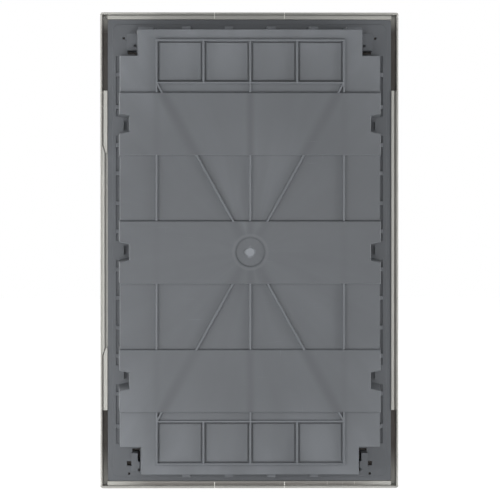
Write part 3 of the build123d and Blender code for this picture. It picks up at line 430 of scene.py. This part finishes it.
@dataclass(frozen=True)
class RibbedPlastic(MouldedPlastic):
    """Moulded plastic with the marks of a ribbed moulding, whose gate is at the origin.

    There are sink marks over the ribs, drawn as painted shade, painted highlights on the rib crowns, flow
    streaks, a whitened gate inside a paler ring and a ring of painted shade, painted light that makes the box
    paler far from the gate, and paler melt in a wedge above it.
    """

    rib_x: float = 0.091
    rib_z: float = 0.1646
    sink_width: float = 0.009
    upright_width: float = 0.0063
    side_share: float = 0.35
    # Sink marks darkened as painted shade: the depths where they fade, and their tint
    sink_depths: Range = (0.0003, 0.0001)
    sink_shade_tint: float = 0.945
    # Painted highlight on the rib crowns: the depths where it fades in and out, and its tint
    crown_depths: Ranges = ((0.0001, 0.00024), (0.00075, 0.00036))
    crown_highlight_tint: float = 1.14
    streak_stretch: Range = (1.6, 3.0)
    streak_waves: float = 3.0
    streak_limits: Range = (0.3, 0.7)
    streak_share: float = 0.5
    streak_tint: float = 0.96
    ragged_waves: float = 210.0
    gate_radius: float = 0.0062
    gate_core: float = 0.0031
    gate_ragged: float = 0.002
    gate_tint: float = 1.36
    # A paler ring, and a darker one that is painted shade in the groove of the gate's dish
    rings: tuple[Ring, ...] = (Ring(0.0166, 0.0022, 0.0008, 1.05), Ring(0.0143, 0.0011, 0.0002, 0.84))
    ring_share: float = 0.7
    # Painted light that makes the box paler far from the gate: where it starts and is full, the depths where
    # it fades, and its tint
    far_reach: Range = (0.13, 0.235)
    far_depths: Range = (0.1, 0.004)
    far_light_tint: float = 1.2
    wedge_soft: float = 0.004
    wedge_heights: Ranges = ((0.006, 0.03), (0.18, 0.08))
    wedge_tint: float = 1.06

    def depth(self, bench: NodeBench) -> Socket:
        """Returns the depth below the face of the raised bands."""
        return bench.math("MULTIPLY", bench.split().outputs["Y"], -1.0)

    def from_diagonal(self, bench: NodeBench) -> Socket:
        """Measures the distance from the nearest diagonal rib.

        Args:
            bench: The material's bench.

        Returns:
            A socket with the distance, below 0 between the two ribs of an end.
        """
        place = bench.split()
        reach = math.hypot(self.rib_x, self.rib_z)
        across = bench.math("MULTIPLY", bench.math("ABSOLUTE", place.outputs["X"]), self.rib_z / reach)
        along = bench.math("MULTIPLY", bench.math("ABSOLUTE", place.outputs["Z"]), self.rib_x / reach)
        return bench.math("SUBTRACT", across, along)

    def sinks(self, bench: NodeBench) -> Socket:
        """Finds the sink marks on the raised bands, over the diagonal, upright and side ribs, which are real
        marks darkened as painted shade.

        Args:
            bench: The material's bench.

        Returns:
            A socket that is 1 along the middle of a sink mark.
        """
        across = bench.math("ABSOLUTE", bench.split().outputs["X"])
        diagonal = bench.fade(bench.math("ABSOLUTE", self.from_diagonal(bench)), self.sink_width, 0.0)
        upright = bench.fade(across, self.upright_width, 0.0)
        sides = bench.fade(bench.apart(across, self.rib_x), self.upright_width, 0.0, high=self.side_share)
        lines = bench.fold("MAXIMUM", diagonal, upright, sides)
        return bench.math("MULTIPLY", lines, bench.fade(self.depth(bench), *self.sink_depths))

    def wedge(self, bench: NodeBench) -> Socket:
        """Returns a mask of the paler wedge of melt between the two upper diagonal ribs."""
        inside = bench.fade(self.from_diagonal(bench), 0.0, -self.wedge_soft)
        return bench.math("MULTIPLY", inside, bench.fades(bench.split().outputs["Z"], *self.wedge_heights))

    def crowns(self, bench: NodeBench) -> Socket:
        """Returns a mask of the rib crowns, which lie between the bands and the sunk zones, for a painted
        highlight on them.
        """
        return bench.fades(self.depth(bench), *self.crown_depths)

    def from_gate(self, bench: NodeBench, ragged: float) -> Socket:
        """Returns the distance from the gate, made uneven by a noise of up to the given length."""
        noise = bench.math("SUBTRACT", bench.noise(self.ragged_waves, detail=2.0), 0.5)
        return bench.math("MULTIPLY_ADD", noise, 2 * ragged, bench.distance())

    def streaks(self, bench: NodeBench) -> Socket:
        """Builds flow streaks that run outward from the gate.

        Args:
            bench: The material's bench.

        Returns:
            The mask's socket.
        """
        place = bench.split()
        angle = bench.math("ARCTAN2", place.outputs["Z"], place.outputs["X"])
        sides = zip("XY", (angle, bench.distance()), self.streak_stretch)
        inputs = {axis: bench.math("MULTIPLY", value, stretch) for axis, value, stretch in sides}
        polar = bench.add("ShaderNodeCombineXYZ", inputs)
        noise = bench.noise(self.streak_waves, detail=3.0, at=polar.outputs["Vector"])
        return bench.fade(noise, *self.streak_limits, high=self.streak_share)

    def far(self, bench: NodeBench) -> Socket:
        """Returns a mask of the painted light that makes the box paler far from the gate, which ends towards
        the flange.
        """
        reach = bench.fade(bench.distance(), *self.far_reach)
        return bench.math("MULTIPLY", reach, bench.fade(self.depth(bench), *self.far_depths))

    def colour(self, bench: NodeBench, mottle: Source) -> Socket:
        """Returns the mottled colour with the marks of the moulding, painted light, painted highlights and
        painted shade.

        Args:
            bench: The material's bench.
            mottle: The slow mottling from 0 to 1.

        Returns:
            The colour's socket.
        """
        body = super().colour(bench, mottle)
        # Painted light far from the gate, the wedge, the flow streaks, painted shade over the sink marks and
        # painted highlights on the rib crowns
        marks = (
            (self.far, self.far_light_tint),
            (self.wedge, self.wedge_tint),
            (self.streaks, self.streak_tint),
            (self.sinks, self.sink_shade_tint),
            (self.crowns, self.crown_highlight_tint),
        )
        for mask, tint in marks:
            body = bench.mix(mask(bench), body, linear(self.shade, tint))
        # The paler ring, and the ring of painted shade in the groove of the dish
        for ring in self.rings:
            offset = bench.apart(self.from_gate(bench, ring.ragged), ring.radius)
            share = bench.fade(offset, ring.width, 0.0, high=self.ring_share)
            body = bench.mix(share, body, linear(self.shade, ring.tint))
        gate = bench.fade(self.from_gate(bench, self.gate_ragged), self.gate_radius, self.gate_core)
        return bench.mix(gate, body, linear(self.shade, self.gate_tint))


@dataclass(frozen=True)
class CoverPoint:
    """Sockets that tell where a point of the cover lies and how far it faces the rear."""

    across: Socket
    height: Socket
    from_middle: Socket
    depth: Socket
    rear: Socket

    @classmethod
    def read(cls, bench: NodeBench) -> "CoverPoint":
        """Reads the point from the object coordinates and the normal.

        Args:
            bench: The material's bench.

        Returns:
            The point's sockets, with across and from_middle as distances from the middle.
        """
        place = bench.split()
        height = place.outputs["Z"]
        across = bench.math("ABSOLUTE", place.outputs["X"])
        depth = bench.math("MULTIPLY", place.outputs["Y"], -1.0)
        rear = bench.fade(bench.split("Normal").outputs["Y"], *FACING_REAR)
        return cls(across, height, bench.math("ABSOLUTE", height), depth, rear)


@dataclass(frozen=True)
class CoverMark:
    """A mark on the cover, as fades over a point's place and a share.

    A fade names the lengths in metres where the mark is absent and full, and its shares there if not 0 and 1.
    """

    across: Ranges = ()
    height: Ranges = ()
    from_middle: Ranges = ()
    depth: Ranges = ()
    share: float = 1.0

    def mask(self, bench: NodeBench, point: CoverPoint) -> Source:
        """Multiplies the fades with the share.

        Args:
            bench: The material's bench.
            point: The point of the cover.

        Returns:
            The mask's socket.
        """
        axes = [axis for axis in ("across", "height", "from_middle", "depth") if getattr(self, axis)]
        fades = [bench.fades(getattr(point, axis), *getattr(self, axis)) for axis in axes]
        return bench.fold("MULTIPLY", self.share, *fades)


@dataclass(frozen=True)
class CoverPlastic(MouldedPlastic):
    """Moulded plastic of the cover, with painted highlights on the webs across its seal grooves, and painted
    shade.

    The painted shade lies in the hollow behind the plate, in the grooves of the side lands, on the skirt's
    rear edges and, as a painted shadow, on the lower end bar. In the hollow and on the skirt it fades out at
    the ends of the strips beside the box.
    """

    # Colour of the painted shade and the painted shadow on the cover
    painted_shade_colour: Colour = (80, 71, 64)
    strips: CoverMark = CoverMark(height=((0.235, 0.219), (-0.236, -0.195)))
    behind_box: CoverMark = CoverMark(across=((0.1428, 0.1420),))
    hollow: CoverMark = CoverMark(depth=((0.0735, 0.0765), (0.0870, 0.0862)))
    grooves: CoverMark = CoverMark(
        across=((0.1441, 0.1443), (0.1480, 0.1478)), depth=((0.0709, 0.0712), (0.0730, 0.0727)), share=0.7
    )
    skirt: CoverMark = CoverMark(across=((0.1479, 0.1481),), depth=((0.0711, 0.0706),), share=0.5)
    # Painted shadow on the rear face of the lower end bar, under the box
    lower_bar: CoverMark = CoverMark(
        across=((0.142, 0.095),),
        height=((-0.2310, -0.2320), (-0.2370, -0.2366), (-0.2336, -0.2348, 0.5, 0.72)),
    )
    # Painted highlights on the webs across the seal grooves, with their tint below
    webs: CoverMark = CoverMark(
        across=((0.0346, 0.0349), (0.0358, 0.0355)),
        from_middle=((0.2328, 0.2334),),
        depth=((0.0765, 0.0735),),
    )
    web_highlight_tint: float = 1.26

    def colour(self, bench: NodeBench, mottle: Source) -> Socket:
        """Returns the mottled colour with the painted shade, the painted shadow and the painted highlights on
        the webs.

        Args:
            bench: The material's bench.
            mottle: The slow mottling from 0 to 1.

        Returns:
            The colour's socket.
        """
        body = super().colour(bench, mottle)
        point = CoverPoint.read(bench)
        # Painted shade in the hollow, in the grooves and on the skirt, and a painted shadow on the lower bar
        kept = bench.math("MAXIMUM", self.strips.mask(bench, point), self.behind_box.mask(bench, point))
        rear_shade_faces = bench.math("MULTIPLY", point.rear, kept)
        painted_shades = (self.hollow, rear_shade_faces), (self.grooves, 1.0), (self.skirt, rear_shade_faces), (self.lower_bar, point.rear)
        for mark, faces in painted_shades:
            share = bench.math("MULTIPLY", mark.mask(bench, point), faces)
            body = bench.mix(share, body, linear(self.painted_shade_colour))
        # Painted highlight on the webs
        return bench.mix(self.webs.mask(bench, point), body, linear(self.shade, self.web_highlight_tint))


@dataclass(frozen=True)
class WorkedMetal:
    """Drawn, brushed or plated metal with lines along one direction and soft blotches."""

    name: str
    shade: Colour
    blotch: Colour
    roughness: Range = (0.22, 0.42)
    direction: Grain = Grain.ALONG_X
    waves: float = 2400.0
    lines: float = 0.00001
    edge: float = 0.0003
    edge_share: float = 0.7
    edge_tint: float = 1.1
    blotch_waves: float = 60.0
    blotch_limits: Range = (0.42, 0.7)
    blotch_weight: float = 0.4
    rough_limits: Range = (0.15, 0.85)

    def material(self) -> Material:
        """Builds the finish.

        Returns:
            The finished material.
        """
        material, bench, shader = new_material(self.name)
        drawn = bench.noise(self.waves, detail=2.0, at=bench.stretched(self.direction.value))
        blotches = bench.fade(bench.noise(self.blotch_waves, detail=4.0), *self.blotch_limits)
        wear = bench.group(EFFECTS.edge_wear, Radius=self.edge)
        colour = bench.mix(blotches, linear(self.shade), linear(self.blotch))
        bright = bench.math("MULTIPLY", wear.outputs["Edge"], self.edge_share)
        colour = bench.mix(bright, colour, linear(self.shade, self.edge_tint))
        fine = bench.math("MULTIPLY", drawn, 1 - self.blotch_weight)
        mixed = bench.math("MULTIPLY_ADD", blotches, self.blotch_weight, fine)
        rough = bench.fade(mixed, *self.rough_limits, *self.roughness)
        normal = bench.bump(drawn, self.lines, wear.outputs["Normal"])
        bench.feed(shader, {"Base Color": colour, "Metallic": 1.0, "Roughness": rough, "Normal": normal})
        return material


@dataclass(frozen=True)
class PrintedFilm:
    """White label film with a thin printed line between the places of the devices."""

    name: str
    shade: Colour
    ink: Colour
    pitch: float = MODULE
    line: float = 0.0002
    ink_share: float = 0.85
    dull_tint: float = 0.96
    rough_limits: Range = (0.2, 0.8)
    roughness: Range = (0.35, 0.6)
    waves: float = 2600.0
    grain: float = 0.00001
    edge: float = 0.0001

    def material(self) -> Material:
        """Builds the finish.

        Returns:
            The finished material.
        """
        material, bench, shader = new_material(self.name)
        grain = bench.group(EFFECTS.mould_grain, Waves=self.waves)
        wear = bench.group(EFFECTS.edge_wear, Radius=self.edge)
        place = bench.math("WRAP", bench.split().outputs["X"], self.pitch / 2, -self.pitch / 2)
        printed = bench.fade(bench.math("ABSOLUTE", place), self.line, self.line / 2, high=self.ink_share)
        paper = bench.mix(grain.outputs["Mottle"], linear(self.shade, self.dull_tint), linear(self.shade))
        colour = bench.mix(printed, paper, linear(self.ink))
        rough = bench.fade(grain.outputs["Height"], *self.rough_limits, *self.roughness)
        normal = bench.bump(grain.outputs["Height"], self.grain, wear.outputs["Normal"])
        bench.feed(shader, {"Base Color": colour, "Roughness": rough, "Normal": normal})
        return material


# What the smooth small mouldings have in common
SMOOTH = {"worn": 1.2, "roughness": (0.36, 0.5), "waves": 1800.0}


class Finish(Enum):
    """The board's finishes."""

    BOX_GREY = RibbedPlastic("box_grey", (107, 110, 114), specular=0.22, recess_shade_reach=0.0015)
    COVER_WHITE = CoverPlastic(
        "cover_white",
        (202, 201, 195),
        variation=0.012,
        worn=1.05,
        roughness=(0.34, 0.46),
        waves=1500.0,
        grain=0.00002,
    )
    FITTING_GREY = MouldedPlastic("fitting_grey", (92, 94, 97), variation=0.04, **SMOOTH)
    EARTH_GREEN = MouldedPlastic("earth_green", (66, 128, 62), variation=0.05, **SMOOTH)
    NEUTRAL_BLUE = MouldedPlastic("neutral_blue", (58, 98, 158), variation=0.05, **SMOOTH)
    ZINC_STEEL = WorkedMetal("zinc_steel", (196, 199, 202), (176, 178, 176))
    ZINC_STRIP = WorkedMetal("zinc_strip", (188, 191, 196), (170, 170, 166), roughness=(0.26, 0.46))
    PIN_STEEL = WorkedMetal("pin_steel", (190, 192, 195), (168, 168, 166), direction=Grain.ALONG_Z)
    TERMINAL_BRASS = WorkedMetal("terminal_brass", (216, 184, 112), (196, 158, 88), roughness=(0.2, 0.38))
    LABEL_WHITE = PrintedFilm("label_white", (238, 238, 232), (120, 122, 124))
    LABEL_INK = MouldedPlastic(
        "label_ink",
        (44, 45, 48),
        variation=0.06,
        worn=1.1,
        roughness=(0.4, 0.6),
        waves=3000.0,
        grain=0.000005,
        edge=0.00002,
    )


class PaintShop:
    """Builds each finish once and puts it on nodes and pieces."""

    def __init__(self) -> None:
        """Starts with no finish built."""
        self.built: dict[Finish, Material] = {}

    def coat(self, piece: Object, finish: Finish) -> None:
        """Replaces the materials of a piece by one finish.

        Args:
            piece: The piece to coat.
            finish: Its finish.
        """
        if finish not in self.built:
            self.built[finish] = finish.value.material()
        piece.data.materials.clear()
        piece.data.materials.append(self.built[finish])

    def coat_nodes(self, names: Iterable[str], finish: Finish) -> None:
        """Coats modelled nodes with one finish.

        Args:
            names: Names of the nodes.
            finish: Their finish.
        """
        for name in names:
            self.coat(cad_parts[name], finish)
            LOG.info("%s: %s", name, finish.value.name)


def add_object(name: str, data: ID) -> Object:
    """Adds an object to the scene.

    Args:
        name: Name of the object.
        data: Its mesh, curve, lamp or camera.

    Returns:
        The new object, at the origin.
    """
    item = bpy.data.objects.new(name, data)
    bpy.context.scene.collection.objects.link(item)
    return item


def aim(item: Object, place: Place, target: Place) -> None:
    """Puts a lamp or camera at a place and turns it to look at a target."""
    item.location = place
    item.rotation_euler = (Vector(target) - Vector(place)).to_track_quat("-Z", "Y").to_euler()


def mesh_data(name: str, mesh: BMesh) -> Mesh:
    """Stores a mesh that was built, and frees what it was built in.

    Args:
        name: Name of the stored mesh.
        mesh: The mesh that was built.

    Returns:
        The stored mesh.
    """
    data = bpy.data.meshes.new(name)
    mesh.to_mesh(data)
    mesh.free()
    return data


def add_copy(target: BMesh, data: Mesh, place: Matrix) -> None:
    """Adds a copy of a stored mesh to a mesh that is being built.

    Args:
        target: The mesh that takes the copy.
        data: The mesh to copy.
        place: Where the copy goes and how it is turned.
    """
    before = len(target.verts)
    target.from_mesh(data)
    target.verts.ensure_lookup_table()
    bmesh.ops.transform(target, matrix=place, verts=target.verts[before:])


def finished_piece(name: str, mesh: BMesh, body: str) -> Object:
    """Makes an object of a mesh, at the origin and riding on a body.

    Args:
        name: Name of the piece.
        mesh: Its mesh, in place, which is freed.
        body: The body that it moves with.

    Returns:
        The new object.
    """
    piece = add_object(name, mesh_data(name, mesh))
    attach(piece, body)
    LOG.info("%s: %d faces", name, len(piece.data.polygons))
    return piece


@dataclass(frozen=True)
class PanScrew:
    """Pan-head screw with a driver recess, whose head faces the front of the board.

    Levels are in head heights, shares are of a radius and turns are in degrees.
    """

    head_radius: float
    head_height: float
    shank_radius: float
    shank_length: float
    recess: Recess
    recess_width: float = 0.9 * MM
    steps: int = 32
    dome_angles: tuple[float, ...] = (0.0, 0.4, 0.8, 1.15, 1.45)
    dome_level: float = 0.45
    rim_level: float = 0.1
    rim_share: float = 0.96
    tip_share: float = 0.7
    cut_level: float = 0.3
    play: float = 1e-7
    least_slope: float = 0.1
    first_turn: float = 12.0
    next_turn: float = 37.0

    def profile(self) -> list[tuple[float, float]]:
        """Draws the half section from the crown of the head to the tip.

        Returns:
            Points as radius and height.
        """
        radius, height, shank = self.head_radius, self.head_height, self.shank_radius
        base, rise = height * self.dome_level, height * (1 - self.dome_level)
        dome = [(radius * math.sin(angle), base + rise * math.cos(angle)) for angle in self.dome_angles]
        under = [(radius, self.rim_level * height), (radius * self.rim_share, 0.0), (shank, 0.0)]
        tip = shank * self.tip_share
        end = -self.shank_length
        return [*dome, *under, (shank, end + tip), (tip, end), (0.0, end)]

    def turned(self) -> BMesh:
        """Turns the half section into a closed screw.

        Returns:
            The screw's mesh, which stands along +Z.
        """
        mesh = bmesh.new()
        points = [mesh.verts.new((radius, 0.0, height)) for radius, height in self.profile()]
        edges = [mesh.edges.new(pair) for pair in zip(points, points[1:])]
        outline = [*points, *edges]
        turn = {"cent": CENTRE, "axis": (0, 0, 1), "angle": math.tau, "steps": self.steps}
        bmesh.ops.spin(mesh, geom=outline, use_merge=True, **turn)
        bmesh.ops.remove_doubles(mesh, verts=mesh.verts, dist=self.shank_radius / 100)
        bmesh.ops.recalc_face_normals(mesh, faces=mesh.faces)
        return mesh

    def cut_recess(self, mesh: BMesh) -> None:
        """Sinks the driver recess into the crown of the head.

        Args:
            mesh: The turned screw.
        """
        half = self.recess_width / 2
        reach_share, floor_level = self.recess.value
        reach = self.head_radius * reach_share
        least = self.head_height * self.cut_level
        for axis in (Vector((1, 0, 0)), Vector((0, 1, 0))):
            for step in (-reach, -half, half, reach):
                crown = [face for face in mesh.faces if face.calc_center_median().z > least]
                parts = list({part for face in crown for part in (face, *face.edges, *face.verts)})
                bmesh.ops.bisect_plane(mesh, geom=parts, plane_co=axis * step, plane_no=axis, dist=self.play)
        sunk = [face for face in mesh.faces if self.in_recess(face, half, reach)]
        result = bmesh.ops.extrude_face_region(mesh, geom=sunk)
        bmesh.ops.delete(mesh, geom=sunk, context="FACES")
        for vert in (part for part in result["geom"] if isinstance(part, BMVert)):
            vert.co.z = self.head_height * floor_level

    def in_recess(self, face: BMFace, half: float, reach: float) -> bool:
        """Tells whether a face of the crown lies inside the driver recess.

        Args:
            face: A face of the screw.
            half: Half the width of the recess.
            reach: How far the recess runs from the middle.

        Returns:
            True for a face to be sunk.
        """
        middle = face.calc_center_median()
        if middle.z < self.head_height * self.dome_level or face.normal.z < self.least_slope:
            return False
        along_x = abs(middle.y) < half and abs(middle.x) < reach
        along_y = abs(middle.x) < half and abs(middle.y) < reach
        return along_x or (along_y and self.recess is Recess.CROSS)

    def add_to(self, target: BMesh, places: Iterable[Vector]) -> None:
        """Adds one screw at each place, with its head's seat there and each turned differently.

        Args:
            target: The mesh that takes the screws.
            places: Seats of the heads.
        """
        single = self.turned()
        self.cut_recess(single)
        data = mesh_data("single_screw", single)
        for number, place in enumerate(places):
            angle = math.radians(self.next_turn * number + self.first_turn)
            turn = TO_FRONT @ Matrix.Rotation(angle, 4, "Z")
            add_copy(target, data, Matrix.Translation(place) @ turn)
        bpy.data.meshes.remove(data)


# Screws of the rails and strips, and the smaller ones that clamp the wires
FIXING_SCREW = PanScrew(3.7 * MM, 2.2 * MM, 1.7 * MM, 10.0 * MM, Recess.CROSS)
CLAMP_SCREW = PanScrew(2.5 * MM, 1.6 * MM, 1.6 * MM, 1.9 * MM, Recess.SLOT, 0.8 * MM, steps=24)


@dataclass
class ScrewSet:
    """All screws of one node, replaced by detailed ones."""

    node: str
    columns: int
    rows: int
    screw: PanScrew
    shop: PaintShop

    def places(self) -> list[Vector]:
        """Spreads the screws evenly over the node's box.

        Returns:
            The seats of the heads.
        """
        low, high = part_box(self.node)
        radius = self.screw.head_radius
        seat = low.y + self.screw.head_height
        steps_x = [i / max(1, self.columns - 1) for i in range(self.columns)]
        steps_z = [i / max(1, self.rows - 1) for i in range(self.rows)]
        first = Vector((low.x + radius, seat, low.z + radius))
        span = Vector((high.x - low.x - 2 * radius, 0, high.z - low.z - 2 * radius))
        return [first + Vector((span.x * u, 0, span.z * v)) for v in steps_z for u in steps_x]

    def build(self) -> None:
        """Builds the screws and hides the plain ones."""
        mesh = bmesh.new()
        self.screw.add_to(mesh, self.places())
        piece = finished_piece(f"{self.node}_detailed", mesh, "board")
        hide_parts(self.node)
        self.shop.coat(piece, Finish.ZINC_STEEL)


@dataclass
class WallBox:
    """The ribbed grey box that sits in the wall."""

    shop: PaintShop

    def build(self) -> None:
        """Dresses the box."""
        self.shop.coat_nodes(["wall_box"], Finish.BOX_GREY)


@dataclass
class CoverAndDoor:
    """The off-white cover with its fasteners, catch and hinged door."""

    shop: PaintShop
    corners: tuple[str, ...] = ("upper_left", "upper_right", "lower_left", "lower_right")

    def build(self) -> None:
        """Dresses the cover, the door and their small parts."""
        self.shop.coat_nodes(["front_cover", "door"], Finish.COVER_WHITE)
        self.shop.coat_nodes([f"cover_fastener_{corner}" for corner in self.corners], Finish.FITTING_GREY)
        self.shop.coat_nodes(["door_catch"], Finish.FITTING_GREY)
        self.shop.coat_nodes(["hinge_pin_upper", "hinge_pin_lower"], Finish.PIN_STEEL)


@dataclass
class Rails:
    """The three top-hat rails with their screws."""

    shop: PaintShop
    names: tuple[str, ...] = ("top", "middle", "bottom")

    def build(self) -> None:
        """Dresses the rails and builds their screws."""
        self.shop.coat_nodes([f"din_rail_{name}" for name in self.names], Finish.ZINC_STEEL)
        ScrewSet("rail_screws", 2, len(self.names), FIXING_SCREW, self.shop).build()


@dataclass
class Terminals:
    """The earth and neutral bars on their holders and strips."""

    shop: PaintShop
    count: int = 9

    def build(self) -> None:
        """Dresses the strips, holders and bars and builds their screws."""
        self.shop.coat_nodes(["terminal_strip_top", "terminal_strip_bottom"], Finish.ZINC_STRIP)
        self.shop.coat_nodes(["earth_holder"], Finish.EARTH_GREEN)
        self.shop.coat_nodes(["neutral_holder"], Finish.NEUTRAL_BLUE)
        self.shop.coat_nodes(["earth_bar", "neutral_bar"], Finish.TERMINAL_BRASS)
        ScrewSet("strip_screws", 2, 2, FIXING_SCREW, self.shop).build()
        for name in ("earth_screws", "neutral_screws"):
            ScrewSet(name, self.count, 1, CLAMP_SCREW, self.shop).build()


@dataclass
class RowLabels:
    """Label strips under the device slots, with a number for each device."""

    shop: PaintShop
    rows: int = 3
    devices: int = 12
    pitch: float = MODULE
    height: float = 4.2 * MM
    ink: float = 0.03 * MM
    curve_steps: int = 4

    def number_mesh(self, text: str) -> Mesh:
        """Makes a mesh of a number, flat in XY.

        Args:
            text: The digits.

        Returns:
            A new mesh.
        """
        curve = bpy.data.curves.new("number", "FONT")
        curve.body = text
        curve.size = self.height
        curve.align_x = "CENTER"
        curve.align_y = "CENTER"
        curve.extrude = self.ink / 2
        curve.resolution_u = self.curve_steps
        holder = add_object("number", curve)
        depsgraph = bpy.context.evaluated_depsgraph_get()
        data = bpy.data.meshes.new_from_object(holder.evaluated_get(depsgraph))
        bpy.data.objects.remove(holder)
        bpy.data.curves.remove(curve)
        return data

    def build_row(self, row: int) -> None:
        """Dresses one label and prints its numbers.

        Args:
            row: The row, from 1 at the top.
        """
        node = f"row_label_{row}"
        self.shop.coat_nodes([node], Finish.LABEL_WHITE)
        low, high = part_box(node)
        mesh = bmesh.new()
        for i in range(self.devices):
            data = self.number_mesh(str((row - 1) * self.devices + i + 1))
            x = (i - (self.devices - 1) / 2) * self.pitch
            place = Matrix.Translation((x, low.y - self.ink / 4, (low.z + high.z) / 2))
            add_copy(mesh, data, place @ TO_FRONT)
            bpy.data.meshes.remove(data)
        numbers = finished_piece(f"row_numbers_{row}", mesh, "board")
        self.shop.coat(numbers, Finish.LABEL_INK)

    def build(self) -> None:
        """Builds all rows."""
        for row in range(1, self.rows + 1):
            self.build_row(row)


@dataclass(frozen=True)
class Lamp:
    """A soft rectangular lamp, with lengths in metres."""

    name: str
    place: Place
    target: Place
    width: float
    height: float
    watts: float

    def build(self) -> None:
        """Adds the lamp to the scene, aimed at its target and hidden from the camera."""
        light = bpy.data.lights.new(self.name, "AREA")
        light.shape = "RECTANGLE"
        light.size = self.width
        light.size_y = self.height
        light.energy = self.watts
        holder = add_object(self.name, light)
        aim(holder, self.place, self.target)
        holder.visible_camera = False


# By the camera, at both sides, near the ends of the board, above it and at the door
LAMPS = (
    Lamp("camera_side", (0.0, 2.1, 0.03), CENTRE, 0.5, 0.3, watts=6.7),
    Lamp("side_left", (1.2, 0.35, -0.02), CENTRE, 0.3, 0.3, watts=3.5),
    Lamp("side_right", (-1.2, 0.35, -0.02), CENTRE, 0.3, 0.3, watts=6.0),
    Lamp("low_front", (0.0, 0.45, -0.22), (0.0, 0.0, -0.2), 1.0, 0.06, watts=0.58),
    Lamp("low_left", (0.5, 0.5, -0.17), (0.12, 0.0, -0.18), 0.2, 0.1, watts=0.9),
    Lamp("high_left", (0.5, 0.5, 0.35), (0.12, 0.0, 0.18), 0.2, 0.2, watts=0.62),
    Lamp("overhead", (0.0, 0.5, 0.45), (0.0, 0.0, 0.2), 1.0, 0.1, watts=0.2),
    Lamp("above_top", (0.0, -0.6, 1.9), CENTRE, 1.2, 0.8, watts=14.0),
    Lamp("door_side", (0.6, -2.1, 0.9), CENTRE, 1.6, 1.0, watts=38.0),
)


@dataclass
class Studio:
    """Camera, lamps, pale floor and white surroundings, with the lens and sensor in millimetres."""

    camera_place: Place = (0.022, 1.93, 0.049)
    camera_target: Place = (0.0, -0.070, 0.0402)
    camera_shift: Range = (0.001, -0.0791)
    lens: float = 143.1
    sensor: float = 36.0
    ambient: float = 0.02
    floor_size: float = 8.0
    floor_dark: tuple[float, ...] = (0.80, 0.80, 0.79, 1.0)
    floor_light: tuple[float, ...] = (0.84, 0.84, 0.83, 1.0)
    floor_dim: tuple[float, ...] = (0.33, 0.33, 0.33, 1.0)
    floor_waves: float = 40.0
    floor_roughness: float = 0.9
    floor_specular: float = 0.1
    floor_glow: Range = (0.80, 0.97)
    floor_front: Range = (-0.35, 0.05)
    floor_fade: Range = (1.9, 2.7)

    def build(self, floor_level: float) -> None:
        """Builds the whole studio.

        Args:
            floor_level: Height of the floor, in metres.
        """
        self.build_camera()
        self.build_world()
        self.build_floor(floor_level)
        for lamp in LAMPS:
            lamp.build()

    def build_camera(self) -> None:
        """Adds the camera, behind the board and a little above its middle."""
        data = bpy.data.cameras.new("camera")
        data.sensor_width = self.sensor
        data.lens = self.lens
        data.shift_x, data.shift_y = self.camera_shift
        camera = add_object("camera", data)
        aim(camera, self.camera_place, self.camera_target)
        bpy.context.scene.camera = camera

    def build_world(self) -> None:
        """Gives soft ambient light, and white where the camera or a reflection looks out."""
        world = bpy.data.worlds.new("surroundings")
        bpy.context.scene.world = world
        world.use_nodes = True
        bench = NodeBench(world.node_tree)
        strength = bench.math("MULTIPLY_ADD", self.seen_directly(bench), 1 - self.ambient, self.ambient)
        bench.feed(world.node_tree.nodes["Background"], {"Color": WHITE, "Strength": strength})

    def seen_directly(self, bench: NodeBench) -> Socket:
        """Returns 1 for camera, glossy and transmission rays and 0 for the rest."""
        path = bench.add("ShaderNodeLightPath")
        return bench.fold("MAXIMUM", *(path.outputs[ray] for ray in DIRECT_RAYS))

    def build_floor(self, level: float) -> None:
        """Adds a pale floor that blends into the white surroundings and keeps soft shadows.

        Args:
            level: Height of the floor, in metres.
        """
        mesh = bmesh.new()
        bmesh.ops.create_grid(mesh, x_segments=2, y_segments=2, size=self.floor_size / 2)
        bmesh.ops.translate(mesh, vec=(0, 0, level), verts=mesh.verts)
        floor = add_object("floor", mesh_data("floor", mesh))
        floor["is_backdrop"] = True
        material, bench, shader = new_material("pale_floor")
        seen = self.seen_directly(bench)
        pale = bench.mix(bench.noise(self.floor_waves, detail=3.0), self.floor_dark, self.floor_light)
        colour = bench.mix(seen, pale, self.floor_dim, "MULTIPLY")
        front = bench.fade(bench.split().outputs["Y"], *self.floor_front)
        white = bench.math("MAXIMUM", front, bench.fade(bench.distance(), *self.floor_fade))
        glow = bench.fade(white, 0.0, 1.0, *self.floor_glow)
        strength = bench.math("MULTIPLY", seen, glow)
        bench.feed(shader, {"Base Color": colour, "Emission Color": WHITE, "Emission Strength": strength})
        bench.feed(shader, {"Roughness": self.floor_roughness, "Specular IOR Level": self.floor_specular})
        floor.data.materials.append(material)


def main() -> None:
    """Builds the board's looks and the studio."""
    logging.basicConfig(level=logging.INFO, format="%(name)s %(message)s")
    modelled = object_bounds()
    bpy.context.scene.view_settings.view_transform = "Standard"
    shop = PaintShop()
    for assembly in (WallBox(shop), CoverAndDoor(shop), Rails(shop), Terminals(shop), RowLabels(shop)):
        assembly.build()
    Studio().build(modelled[0].z)


if __name__ == "__main__":
    main()
